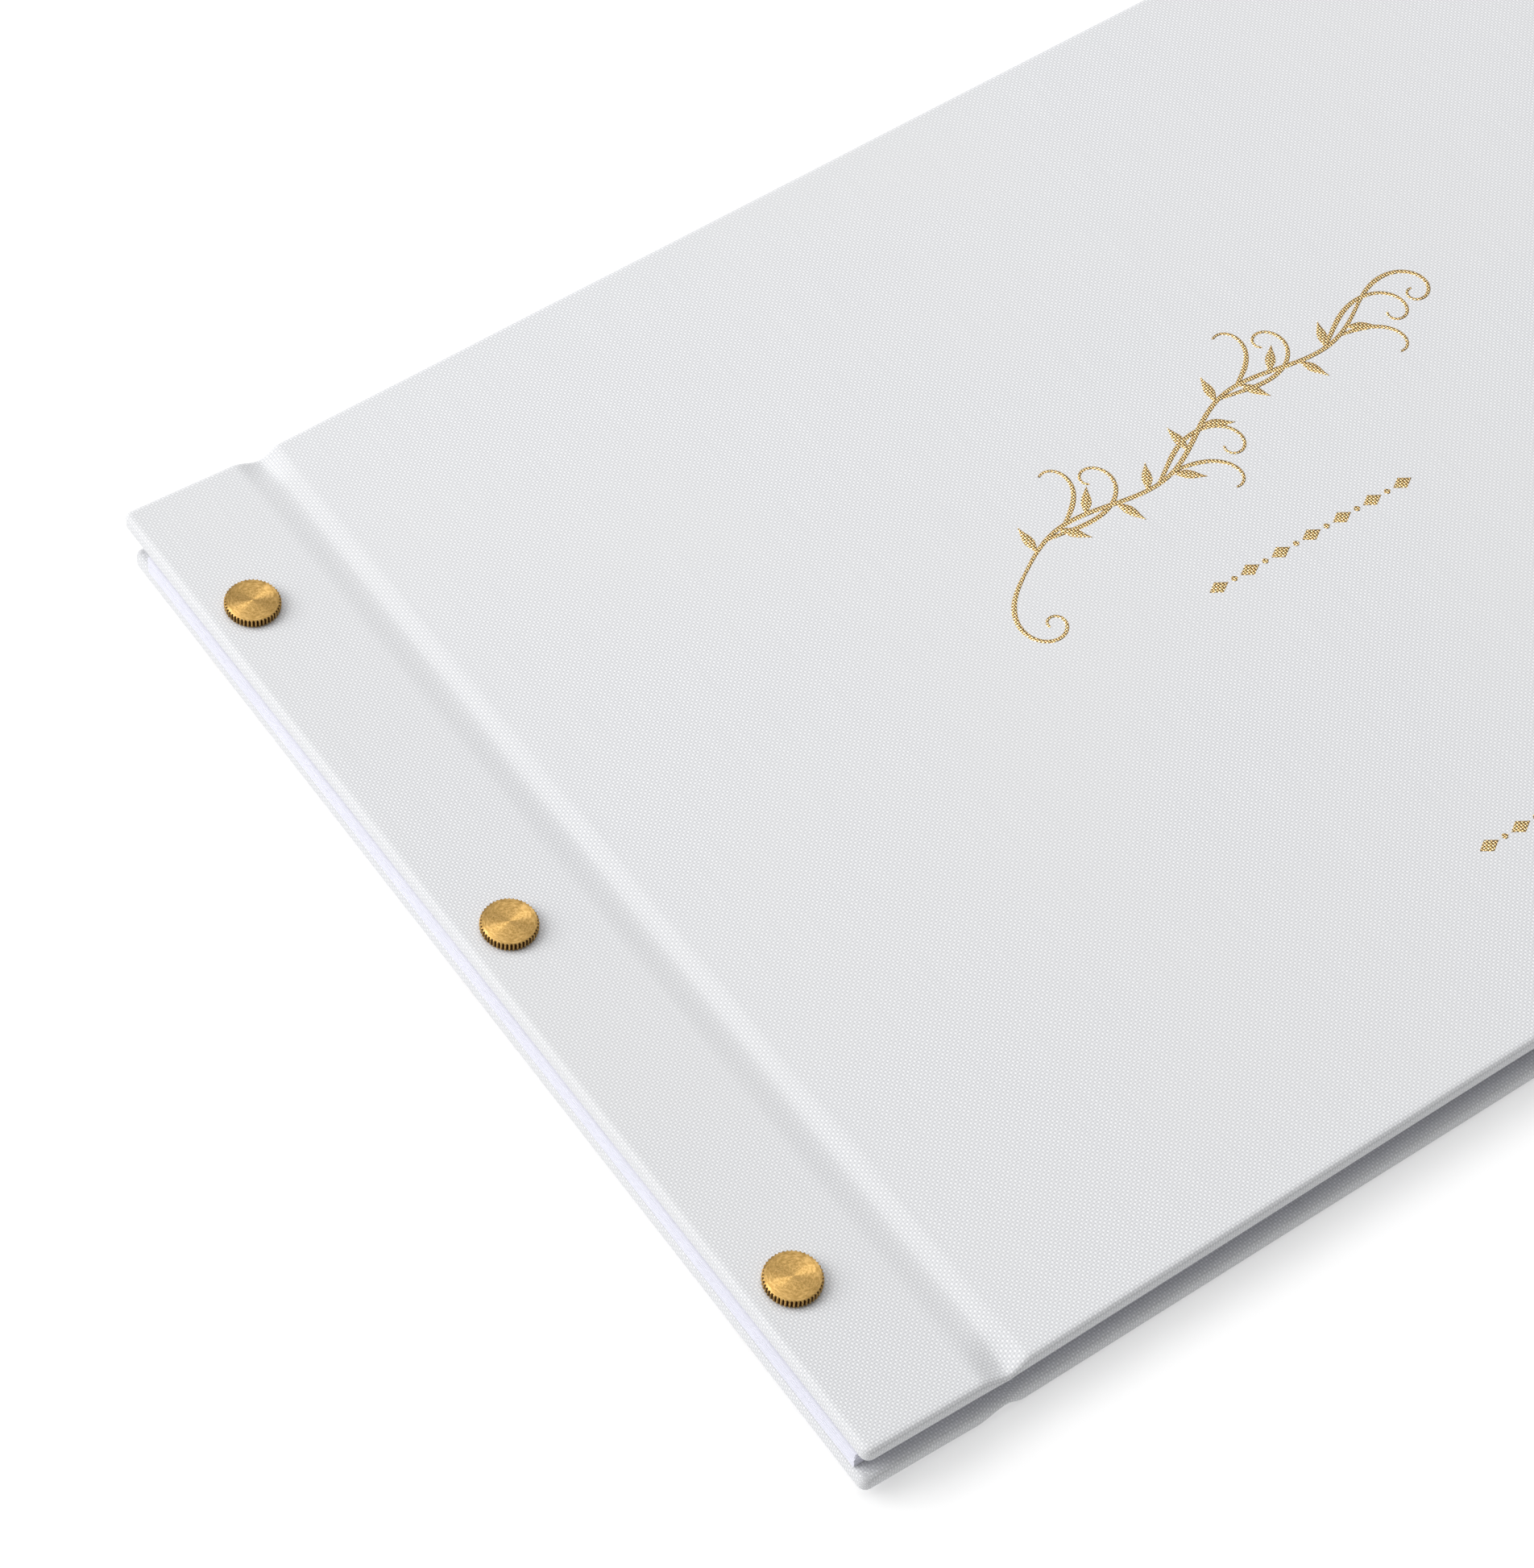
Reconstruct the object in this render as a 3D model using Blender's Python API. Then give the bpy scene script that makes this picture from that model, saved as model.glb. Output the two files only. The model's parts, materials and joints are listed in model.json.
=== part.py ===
"""Landscape screw-post guest book: two cloth-covered case boards, a block of loose
leaves and three two-part binding screws. The binding strips sit on the rear post
heads, so they slope a little, while the back board lies flat.

Book coordinates, before the binding is tilted: X runs from the spine edge to the
fore-edge, Y from tail to head with 0 in the middle of the front cover, Z up from the
outer face of the back strip. "Depth" in a cover is measured from its page side to its
outer face.
"""

import math

import bmesh
import bpy
from mathutils import Matrix, Vector

MM = 0.001

# Driving sizes of the cover boards and their cloth
COVER_WIDTH = 302.0 * MM
COVER_HEIGHT = 221.0 * MM
BACK_HEIGHT = COVER_HEIGHT - 2.0 * MM
BOARD_THICKNESS = 2.0 * MM
CLOTH_THICKNESS = 0.4 * MM
TURN_IN = 15.0 * MM
EDGE_RADIUS = 0.8 * MM

# Binding strip and the cloth groove that the cover folds along
STRIP_WIDTH = 22.7 * MM
GROOVE_WIDTH = 8.1 * MM
GROOVE_FLOOR = 1.3 * MM
GROOVE_RISE = 2.1 * MM
FOLD_GAP = 0.9 * MM

# Leaves
LEAF_COUNT = 6
LEAF_THICKNESS = 0.3 * MM
LEAF_SPINE_INSET = 0.0 * MM
LEAF_FORE_INSET = 5.0 * MM
LEAF_HEAD_INSET = 8.5 * MM
LEAF_TAIL_INSET = 2.5 * MM
LEAF_AXIS_RISE = 3.0 * MM
LEAF_FOLD_GAP = 1.0 * MM

# Binding screws (knurled heads in front) and their posts (plain heads behind)
SCREW_COUNT = 3
SCREW_SPACING = 80.0 * MM
SCREW_INSET = 8.1 * MM
SCREW_OFFSET = 0.6 * MM
HEAD_RADIUS = 4.9 * MM
SCREW_HEAD_THICKNESS = 1.5 * MM
POST_HEAD_THICKNESS = 0.8 * MM
POST_RADIUS = 2.5 * MM
POST_WALL = 0.5 * MM
POST_FLOOR = 1.5 * MM
HOLE_CLEARANCE = 0.3 * MM
THREAD_CLEARANCE = 0.3 * MM
KNURL_TEETH = 40
KNURL_DEPTH = 0.16 * MM
HEAD_CHAMFER = 0.2 * MM

# Clearances, the spring of the front cover and the hand-made set of the back one
GAP = 0.3 * MM
HEAD_CLEARANCE = 0.4 * MM
COVER_PITCH = math.radians(0.3)
BACK_SHIFT = -1.9 * MM
BACK_SKEW = math.radians(-0.15)

# How finely the round shapes are faceted
HOLE_SIDES = 20
POST_SIDES = 32
EDGE_SEGMENTS = 2
SHARP_ANGLE = math.radians(25)
SAME_PLACE = 0.03 * MM

# Sizes that follow
COVER_THICKNESS = BOARD_THICKNESS + 2 * CLOTH_THICKNESS + 2 * GAP
LEAF_PITCH = LEAF_THICKNESS + GAP
BLOCK_THICKNESS = LEAF_COUNT * LEAF_PITCH + GAP
FRONT_INNER_Z = COVER_THICKNESS + BLOCK_THICKNESS
FRONT_OUTER_Z = FRONT_INNER_Z + COVER_THICKNESS
MAIN_START = STRIP_WIDTH + GROOVE_WIDTH
HINGE_X = STRIP_WIDTH + GROOVE_WIDTH / 2
HALF_HEIGHT = COVER_HEIGHT / 2
GROOVE_CORNER_DROP = 1.5 * CLOTH_THICKNESS
FRONT_AXIS_RISE = (GAP + SCREW_HEAD_THICKNESS + HEAD_CLEARANCE) / 2
BACK_AXIS_DROP = (GAP + POST_HEAD_THICKNESS + HEAD_CLEARANCE) / 2
HOLE_RADIUS = POST_RADIUS + HOLE_CLEARANCE
BORE_RADIUS = POST_RADIUS - POST_WALL
SHANK_RADIUS = BORE_RADIUS - THREAD_CLEARANCE
BACK_TURNING_POINT = Vector((SCREW_INSET, SCREW_OFFSET, 0.0))
SCREW_PLACES = [
    SCREW_OFFSET - (index - (SCREW_COUNT - 1) / 2) * SCREW_SPACING
    for index in range(SCREW_COUNT)
]


def strip_tilt():
    """The slope at which the rear post heads and the back board share one surface."""
    reach = HINGE_X - SCREW_INSET - HEAD_RADIUS
    drop = BACK_AXIS_DROP - GAP - POST_HEAD_THICKNESS
    return math.asin(BACK_AXIS_DROP / math.hypot(reach, drop)) - math.atan2(drop, reach)


def clear_scene():
    for obj in list(bpy.data.objects):
        bpy.data.objects.remove(obj, do_unlink=True)


def make_material(name, colour, roughness, metallic=0.0):
    material = bpy.data.materials.new(name)
    material.use_nodes = True
    shader = material.node_tree.nodes["Principled BSDF"]
    shader.inputs["Base Color"].default_value = (*colour, 1.0)
    shader.inputs["Roughness"].default_value = roughness
    shader.inputs["Metallic"].default_value = metallic
    return material


def add_pivot(name, location, parent=None, turn=0.0, skew=0.0):
    """An empty whose own Y axis is a fold line: turn is about Y, skew about Z."""
    pivot = bpy.data.objects.new(name, None)
    bpy.context.scene.collection.objects.link(pivot)
    pivot.location = location
    pivot.rotation_euler = (0.0, turn, skew)
    pivot.parent = parent
    return pivot


def add_object(name, shape, parent, origin, material=None):
    """Turn a bmesh in book coordinates into an object whose origin is given."""
    bmesh.ops.translate(shape, verts=shape.verts, vec=-Vector(origin))
    bmesh.ops.recalc_face_normals(shape, faces=shape.faces)
    mesh = bpy.data.meshes.new(name)
    shape.to_mesh(mesh)
    shape.free()
    obj = bpy.data.objects.new(name, mesh)
    bpy.context.scene.collection.objects.link(obj)
    obj.parent = parent
    if material:
        mesh.materials.append(material)
    return obj


def hide_cutter(cutter):
    cutter.hide_render = True
    cutter.display_type = "WIRE"


def block_shape(low, high):
    """A plain rectangular block between two corners."""
    low, high = Vector(low), Vector(high)
    shape = bmesh.new()
    bmesh.ops.create_cube(shape, size=1.0)
    size = Matrix.Diagonal((*(high - low), 1.0))
    bmesh.ops.transform(shape, matrix=size, verts=shape.verts)
    bmesh.ops.translate(shape, verts=shape.verts, vec=(low + high) / 2)
    return shape


def profile_shape(points, y_low, y_high):
    """A closed X-Z outline carried along Y."""
    shape = bmesh.new()
    corners = [shape.verts.new((x, y_low, z)) for x, z in points]
    face = shape.faces.new(corners)
    grown = bmesh.ops.extrude_face_region(shape, geom=[face])
    moved = [item for item in grown["geom"] if isinstance(item, bmesh.types.BMVert)]
    bmesh.ops.translate(shape, verts=moved, vec=(0.0, y_high - y_low, 0.0))
    return shape


def turned_shape(rings, sides, centre, wave=0.0):
    """A turned solid from (radius, z, knurled) rings; wave cuts teeth into a ring."""
    shape = bmesh.new()
    loops = []
    for radius, z, knurled in rings:
        loop = []
        for side in range(sides):
            angle = 2 * math.pi * side / sides
            reach = radius - wave * (side % 2) if knurled else radius
            x = centre[0] + reach * math.cos(angle)
            y = centre[1] + reach * math.sin(angle)
            loop.append(shape.verts.new((x, y, z)))
        loops.append(loop)
    for upper, lower in zip(loops, loops[1:]):
        for side in range(sides):
            after = (side + 1) % sides
            shape.faces.new((upper[side], upper[after], lower[after], lower[side]))
    for loop, (_, z, _) in ((loops[0], rings[0]), (loops[-1], rings[-1])):
        hub = shape.verts.new((centre[0], centre[1], z))
        for side in range(sides):
            shape.faces.new((loop[side], loop[(side + 1) % sides], hub))
    return shape


def cut_with(obj, cutter, name):
    cut = obj.modifiers.new(name, "BOOLEAN")
    cut.operation = "DIFFERENCE"
    cut.solver = "EXACT"
    cut.object = cutter


def add_hole_cutters(binding):
    """One long cutter for each post, through both strips and every leaf margin."""
    cutters = []
    for number, y in enumerate(SCREW_PLACES, 1):
        low, high = -2 * GAP, FRONT_OUTER_Z + 2 * GAP
        rings = [(HOLE_RADIUS, high, False), (HOLE_RADIUS, low, False)]
        shape = turned_shape(rings, HOLE_SIDES, (SCREW_INSET, y))
        cutter = add_object(f"post_hole_{number}", shape, binding, (0, 0, 0))
        hide_cutter(cutter)
        cutters.append(cutter)
    return cutters


class CoverSide:
    """Turns depths in one cover into heights: page side at 0, outer face at the top."""

    def __init__(self, name, inner_z, outward, middle_y, height):
        self.name = name
        self.inner_z = inner_z
        self.outward = outward
        self.middle_y = middle_y
        self.half_height = height / 2

    def z(self, depth):
        return self.inner_z + self.outward * depth

    def block(self, x_span, half_length, depths):
        z_low, z_high = sorted(self.z(depth) for depth in depths)
        low = (x_span[0], self.middle_y - half_length, z_low)
        high = (x_span[1], self.middle_y + half_length, z_high)
        return block_shape(low, high)

    def outline(self, points, half_length):
        heights = [(x, self.z(depth)) for x, depth in points]
        low, high = self.middle_y - half_length, self.middle_y + half_length
        return profile_shape(heights, low, high)


def round_outer_edges(shape, side, flat_x):
    """Ease the cloth's turned edges on the outer face, but not the fold line."""
    outer = side.z(COVER_THICKNESS)
    chosen = []
    for edge in shape.edges:
        first, second = (vert.co for vert in edge.verts)
        on_face = max(abs(first.z - outer), abs(second.z - outer)) < SAME_PLACE
        on_fold = max(abs(first.x - flat_x), abs(second.x - flat_x)) < SAME_PLACE
        if on_face and not on_fold:
            chosen.append(edge)
    bmesh.ops.bevel(
        shape, geom=chosen, offset=EDGE_RADIUS, segments=EDGE_SEGMENTS,
        profile=0.5, affect="EDGES",
    )


def add_cloth(side, name, outline, pocket_x, window_x, flat_x, pivot, origin, material):
    """A cloth skin: its outline, hollowed for the board and open between turn-ins."""
    shape = side.outline(outline, side.half_height)
    round_outer_edges(shape, side, flat_x)
    cloth = add_object(name, shape, pivot, origin, material)
    skin = CLOTH_THICKNESS
    half = side.half_height
    pocket = side.block(pocket_x, half - skin, (skin, COVER_THICKNESS - skin))
    depths = (-GAP, COVER_THICKNESS - skin - BOARD_THICKNESS / 2)
    window = side.block(window_x, half - TURN_IN, depths)
    for label, cutter_shape in (("pocket", pocket), ("window", window)):
        cutter = add_object(f"{name}_{label}", cutter_shape, pivot, origin)
        hide_cutter(cutter)
        cut_with(cloth, cutter, label)
    return cloth


def add_strip(side, holder, origin, cutters, materials):
    """The binding strip that the posts pass through, with half of the groove."""
    thick = COVER_THICKNESS
    skin = CLOTH_THICKNESS
    fold = HINGE_X - FOLD_GAP / 2
    outline = [
        (0.0, 0.0),
        (0.0, thick),
        (STRIP_WIDTH, thick),
        (fold, GROOVE_FLOOR),
        (fold, GROOVE_FLOOR - skin),
        (STRIP_WIDTH, thick - skin),
        (STRIP_WIDTH, 0.0),
    ]
    pocket_x = (skin, STRIP_WIDTH - skin)
    window_x = (TURN_IN, STRIP_WIDTH + GAP)
    cloth = add_cloth(
        side, f"{side.name}_strip_cloth", outline, pocket_x, window_x,
        STRIP_WIDTH, holder, origin, materials["linen"],
    )
    inset = skin + GAP
    board_shape = side.block(
        (inset, STRIP_WIDTH - inset), side.half_height - inset, (inset, thick - inset)
    )
    name = f"{side.name}_strip_board"
    board = add_object(name, board_shape, holder, origin, materials["board"])
    lining_shape = side.block(
        (TURN_IN + GAP, fold), side.half_height - TURN_IN - GAP, (0.0, skin)
    )
    name = f"{side.name}_strip_lining"
    add_object(name, lining_shape, holder, origin, materials["lining"])
    for cutter in cutters:
        cut_with(cloth, cutter, cutter.name)
        cut_with(board, cutter, cutter.name)


def add_cover(side, pivot, origin, materials):
    """The large cover panel that turns on the groove."""
    thick = COVER_THICKNESS
    skin = CLOTH_THICKNESS
    fold = HINGE_X + FOLD_GAP / 2
    foot = MAIN_START - GROOVE_RISE
    outline = [
        (fold, GROOVE_FLOOR - skin),
        (fold, GROOVE_FLOOR),
        (foot, GROOVE_FLOOR),
        (MAIN_START, thick),
        (COVER_WIDTH, thick),
        (COVER_WIDTH, 0.0),
        (MAIN_START, 0.0),
        (MAIN_START, thick - GROOVE_CORNER_DROP),
        (foot + skin / 2, GROOVE_FLOOR - skin),
    ]
    pocket_x = (MAIN_START + skin, COVER_WIDTH - skin)
    window_x = (MAIN_START - GAP / 2, COVER_WIDTH - TURN_IN)
    add_cloth(
        side, f"{side.name}_cover_cloth", outline, pocket_x, window_x,
        MAIN_START, pivot, origin, materials["linen"],
    )
    inset = skin + GAP
    board_shape = side.block(
        (MAIN_START + inset, COVER_WIDTH - inset), side.half_height - inset,
        (inset, thick - inset),
    )
    name = f"{side.name}_cover_board"
    add_object(name, board_shape, pivot, origin, materials["board"])
    lining_shape = side.block(
        (fold, COVER_WIDTH - TURN_IN - GAP), side.half_height - TURN_IN - GAP,
        (0.0, skin),
    )
    name = f"{side.name}_cover_lining"
    add_object(name, lining_shape, pivot, origin, materials["lining"])


def add_leaf(number, binding, tilt, cutters, material):
    """One leaf: the margin that the posts hold and the page that turns."""
    base = FRONT_INNER_Z - number * LEAF_PITCH
    top = base + LEAF_THICKNESS
    tail = LEAF_TAIL_INSET - HALF_HEIGHT
    head = HALF_HEIGHT - LEAF_HEAD_INSET
    margin_shape = block_shape(
        (LEAF_SPINE_INSET, tail, base), (HINGE_X - FOLD_GAP / 2, head, top)
    )
    name = f"page_margin_{number}"
    margin = add_object(name, margin_shape, binding, (0, 0, 0), material)
    for cutter in cutters:
        cut_with(margin, cutter, cutter.name)
    spring = COVER_PITCH * (1 - number / (LEAF_COUNT + 1))
    origin = (HINGE_X, 0.0, (base + top) / 2 + LEAF_AXIS_RISE)
    pivot = add_pivot(f"leaf_hinge_{number}", origin, binding, -tilt - spring)
    page_shape = block_shape(
        (HINGE_X + LEAF_FOLD_GAP, tail, base),
        (COVER_WIDTH - LEAF_FORE_INSET, head, top),
    )
    add_object(f"page_leaf_{number}", page_shape, pivot, origin, material)


def smooth_round(obj):
    obj.data.shade_smooth()
    obj.data.set_sharp_from_angle(angle=SHARP_ANGLE)


def add_screw(number, y, binding, material):
    """The knurled male screw: its head lies on the front strip."""
    under = FRONT_OUTER_Z + GAP
    top = under + SCREW_HEAD_THICKNESS
    tip = POST_FLOOR + GAP
    rings = [
        (HEAD_RADIUS - 2 * HEAD_CHAMFER, top, False),
        (HEAD_RADIUS, top - HEAD_CHAMFER, True),
        (HEAD_RADIUS, under + HEAD_CHAMFER, True),
        (HEAD_RADIUS - HEAD_CHAMFER, under, False),
        (SHANK_RADIUS, under, False),
        (SHANK_RADIUS, tip + HEAD_CHAMFER, False),
        (SHANK_RADIUS - HEAD_CHAMFER, tip, False),
    ]
    shape = turned_shape(rings, 2 * KNURL_TEETH, (SCREW_INSET, y), KNURL_DEPTH)
    place = (SCREW_INSET, y, 0.0)
    name = f"binding_screw_{number}"
    screw = add_object(name, shape, binding, place, material)
    screw.location = place
    smooth_round(screw)


def add_post(number, y, binding, material):
    """The female post: a bored barrel through the book, its head on the back strip."""
    seat = -GAP
    rim = seat - POST_HEAD_THICKNESS
    rings = [
        (BORE_RADIUS, POST_FLOOR, False),
        (BORE_RADIUS, FRONT_OUTER_Z, False),
        (POST_RADIUS, FRONT_OUTER_Z, False),
        (POST_RADIUS, seat, False),
        (HEAD_RADIUS, seat, False),
        (HEAD_RADIUS, rim, False),
    ]
    shape = turned_shape(rings, POST_SIDES, (SCREW_INSET, y))
    place = (SCREW_INSET, y, 0.0)
    name = f"binding_post_{number}"
    post = add_object(name, shape, binding, place, material)
    post.location = place
    smooth_round(post)


def tilt_about(pivot, point, angle):
    """Turn an empty about the Y line through a point of its own."""
    point = Vector(point)
    pivot.rotation_euler = (0.0, angle, 0.0)
    pivot.location = point - Matrix.Rotation(angle, 3, "Y") @ point


def seat_on_table(book):
    """Move the book so that its footprint is centred and its lowest point is at 0."""
    bpy.context.view_layer.update()
    corners = [
        obj.matrix_world @ vert.co
        for obj in bpy.context.scene.objects
        if obj.type == "MESH" and not obj.hide_render
        for vert in obj.data.vertices
    ]
    low = Vector([min(corner[axis] for corner in corners) for axis in range(3)])
    high = Vector([max(corner[axis] for corner in corners) for axis in range(3)])
    middle = (low + high) / 2
    book.location -= Vector((middle.x, middle.y, low.z))
    bpy.context.view_layer.update()


def build_book():
    clear_scene()
    materials = {
        "linen": make_material("white_book_linen", (0.76, 0.77, 0.79), 0.9),
        "board": make_material("grey_board", (0.42, 0.39, 0.35), 0.95),
        "lining": make_material("lining_paper", (0.80, 0.80, 0.81), 0.85),
        "page": make_material("page_paper", (0.84, 0.84, 0.90), 0.8),
        "brass": make_material("turned_brass", (0.72, 0.50, 0.20), 0.3, 1.0),
    }
    tilt = strip_tilt()
    book = add_pivot("book", (0.0, 0.0, 0.0))
    binding = add_pivot("binding", (0.0, 0.0, 0.0), book)
    back_axis = Vector((HINGE_X, 0.0, -BACK_AXIS_DROP))
    tilt_about(binding, back_axis, tilt)
    cutters = add_hole_cutters(binding)

    front = CoverSide("front", FRONT_INNER_Z, 1, 0.0, COVER_HEIGHT)
    front_axis = (HINGE_X, 0.0, FRONT_OUTER_Z + FRONT_AXIS_RISE)
    front_pivot = add_pivot("front_hinge", front_axis, binding, -tilt - COVER_PITCH)
    add_strip(front, binding, (0.0, 0.0, 0.0), cutters, materials)
    add_cover(front, front_pivot, front_axis, materials)

    back = CoverSide("back", COVER_THICKNESS, -1, BACK_SHIFT, BACK_HEIGHT)
    centre = BACK_TURNING_POINT
    back_case = add_pivot("back_case", centre, binding, skew=BACK_SKEW)
    skewed = centre + Matrix.Rotation(BACK_SKEW, 3, "Z") @ (back_axis - centre)
    back_pivot = add_pivot("back_hinge", skewed, book, skew=BACK_SKEW)
    add_strip(back, back_case, centre, cutters, materials)
    add_cover(back, back_pivot, back_axis, materials)

    for number in range(1, LEAF_COUNT + 1):
        add_leaf(number, binding, tilt, cutters, materials["page"])
    for number, y in enumerate(SCREW_PLACES, 1):
        add_screw(number, y, binding, materials["brass"])
        add_post(number, y, binding, materials["brass"])
    seat_on_table(book)


build_book()
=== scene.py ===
# %% [markdown]
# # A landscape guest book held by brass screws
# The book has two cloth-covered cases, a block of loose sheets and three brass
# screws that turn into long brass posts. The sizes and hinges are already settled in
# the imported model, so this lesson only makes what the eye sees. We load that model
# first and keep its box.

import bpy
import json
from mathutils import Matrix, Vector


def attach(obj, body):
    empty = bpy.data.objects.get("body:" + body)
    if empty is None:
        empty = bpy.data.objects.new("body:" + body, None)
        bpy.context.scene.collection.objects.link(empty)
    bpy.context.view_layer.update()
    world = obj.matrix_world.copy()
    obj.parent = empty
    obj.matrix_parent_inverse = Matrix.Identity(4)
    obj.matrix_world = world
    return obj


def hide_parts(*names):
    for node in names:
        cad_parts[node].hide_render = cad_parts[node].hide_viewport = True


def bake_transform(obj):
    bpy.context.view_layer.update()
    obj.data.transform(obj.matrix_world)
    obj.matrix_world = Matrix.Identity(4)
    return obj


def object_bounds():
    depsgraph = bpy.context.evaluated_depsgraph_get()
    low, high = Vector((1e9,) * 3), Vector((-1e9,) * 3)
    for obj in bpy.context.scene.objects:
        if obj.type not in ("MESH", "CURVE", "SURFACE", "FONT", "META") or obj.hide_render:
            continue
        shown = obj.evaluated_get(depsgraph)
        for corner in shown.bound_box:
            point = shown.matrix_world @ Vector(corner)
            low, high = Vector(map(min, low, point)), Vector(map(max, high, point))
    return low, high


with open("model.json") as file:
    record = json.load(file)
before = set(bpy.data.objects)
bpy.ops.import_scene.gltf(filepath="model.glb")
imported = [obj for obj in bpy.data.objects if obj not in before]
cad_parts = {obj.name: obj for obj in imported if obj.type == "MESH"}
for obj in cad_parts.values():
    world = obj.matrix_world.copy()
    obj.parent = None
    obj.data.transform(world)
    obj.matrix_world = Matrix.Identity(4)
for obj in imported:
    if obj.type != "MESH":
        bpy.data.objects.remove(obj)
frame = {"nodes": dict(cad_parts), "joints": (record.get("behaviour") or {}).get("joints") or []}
packed_low, packed_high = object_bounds()
print("packed book, mm:", [round(side * 1000, 1) for side in packed_high - packed_low])

# %% Tools and units
import json
import math
import random

import bmesh
import bpy
from mathutils import Matrix, Vector, noise

MM = 0.001
NODES = frame["nodes"]
JOINTS = {joint["name"]: joint for joint in frame["joints"]}
SURFACE = "surface"

# %% [markdown]
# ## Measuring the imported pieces
# Each cover is two flat panels that meet at a fold, and each panel lies at its own
# small slope. We could copy those slopes as numbers, but then a changed book would
# no longer fit. Instead we read the slope from a panel's own faces: its large faces
# say which way is up, and its long edges say which way is across. A "jig" then lets
# us work in a bookbinder's sizes: across from the spine edge, along towards the head,
# and depth from the page side outwards.

# %% A jig on one flat panel
FACING = 0.98


def panel_axes(node):
    """The directions of one flat panel: across, along and up, as a matrix."""
    up, fore = Vector(), Vector()
    for face in NODES[node].data.polygons:
        if face.normal.z > FACING:
            up += face.normal * face.area
        if face.normal.x > FACING:
            fore += face.normal * face.area
    up.normalize()
    along = up.cross(fore).normalized()
    across = along.cross(up)
    return Matrix((across, along, up)).transposed()


class Jig:
    """Bookbinder's sizes on one panel; outward is 1 for the front and -1 for the back."""

    def __init__(self, node, outward=1):
        self.axes = panel_axes(node)
        self.outward = outward
        corners = [self.axes.transposed() @ v.co for v in NODES[node].data.vertices]
        self.low = Vector([min(corner[i] for corner in corners) for i in range(3)])
        self.high = Vector([max(corner[i] for corner in corners) for i in range(3)])
        page_side = self.low.z if outward > 0 else self.high.z
        middle = (self.low.y + self.high.y) / 2
        self.origin = Vector((self.low.x, middle, page_side))

    def place(self, across, along, depth):
        """A point of the panel in the row frame."""
        return self.axes @ (self.origin + Vector((across, along, self.outward * depth)))

    def reading(self, point):
        """How far across a point of the row frame lies."""
        return (self.axes.transposed() @ Vector(point) - self.origin).x


def smooth(share):
    share = min(1.0, max(0.0, share))
    return share * share * (3 - 2 * share)


class FoldedPanel:
    """A held panel and a turning one, with a soft crease from start to end."""

    def __init__(self, held, turning, hinge, outward, crease):
        self.held = Jig(held, outward)
        self.turning = Jig(turning, outward)
        pin = JOINTS[hinge]["pos_m"]
        self.turning.origin.x += self.turning.reading(pin) - self.held.reading(pin)
        self.start, self.end = crease(self)
        self.width = self.turning.high.x - self.turning.origin.x
        self.length = self.held.high.y - self.held.low.y
        self.thickness = self.held.high.z - self.held.low.z

    def place(self, across, along, depth):
        share = smooth((across - self.start) / (self.end - self.start))
        held = self.held.place(across, along, depth)
        return held.lerp(self.turning.place(across, along, depth), share)

    def blend(self, piece, held_body, turning_body):
        start = self.held.place(self.start, 0, 0)
        self.turning.place(self.end, 0, 0)
        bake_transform(piece)


def between_boards(side):
    """The crease of a cover runs from the strip's board to the large board."""

    def crease(panel):
        strip, board = (NODES[f"{side}_{part}_board"].data for part in ("strip", "cover"))
        start = max(panel.held.reading(v.co) for v in strip.vertices)
        return start, min(panel.turning.reading(v.co) for v in board.vertices)

    return crease


COVERS = {
    side: FoldedPanel(
        f"{side}_strip_cloth", f"{side}_cover_cloth", f"{side}_cover_hinge", outward,
        between_boards(side),
    )
    for side, outward in (("front", 1), ("back", -1))
}
for side, cover in COVERS.items():
    sizes = (cover.width, cover.length, cover.thickness, cover.start, cover.end)
    print(side, "cover, mm:", [round(size / MM, 2) for size in sizes])

# %% [markdown]
# ## Writing finishes as sums
# A finish is easier to read as a sum than as a picture of boxes and lines. The class
# below wraps one socket, so `1 - hollow * 0.3` adds the Math nodes by itself. Every
# other node comes from one method, which sets what the node is first and joins its
# sockets afterwards.

# %% A socket that can be added and multiplied


class Value:
    """One output of a node in a finish."""

    def __init__(self, finish, socket):
        self.finish = finish
        self.socket = socket

    def math(self, operation, *inputs):
        settings = {"operation": operation}
        return self.finish.node("ShaderNodeMath", settings, dict(enumerate(inputs)))

    def output(self, name):
        return Value(self.finish, self.socket.node.outputs[name])

    def __add__(self, other):
        return self.math("ADD", self, other)

    def __sub__(self, other):
        return self.math("SUBTRACT", self, other)

    def __mul__(self, other):
        return self.math("MULTIPLY", self, other)

    def __truediv__(self, other):
        return self.math("DIVIDE", self, other)

    def __pow__(self, other):
        return self.math("POWER", self, other)

    def __abs__(self):
        return self.math("ABSOLUTE", self)

    def __radd__(self, other):
        return self.math("ADD", other, self)

    def __rsub__(self, other):
        return self.math("SUBTRACT", other, self)

    def __rmul__(self, other):
        return self.math("MULTIPLY", other, self)

    def sine(self):
        return self.math("SINE", self)

    def sign(self):
        return self.math("SIGN", self)

    def larger(self, other):
        return self.math("MAXIMUM", self, other)

    def within(self, low, high):
        """0 below low, 1 above high, and a soft step between."""
        settings = {"interpolation_type": "SMOOTHSTEP"}
        inputs = {"Value": self, "From Min": low, "From Max": high}
        return self.finish.node("ShaderNodeMapRange", settings, inputs)


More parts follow.
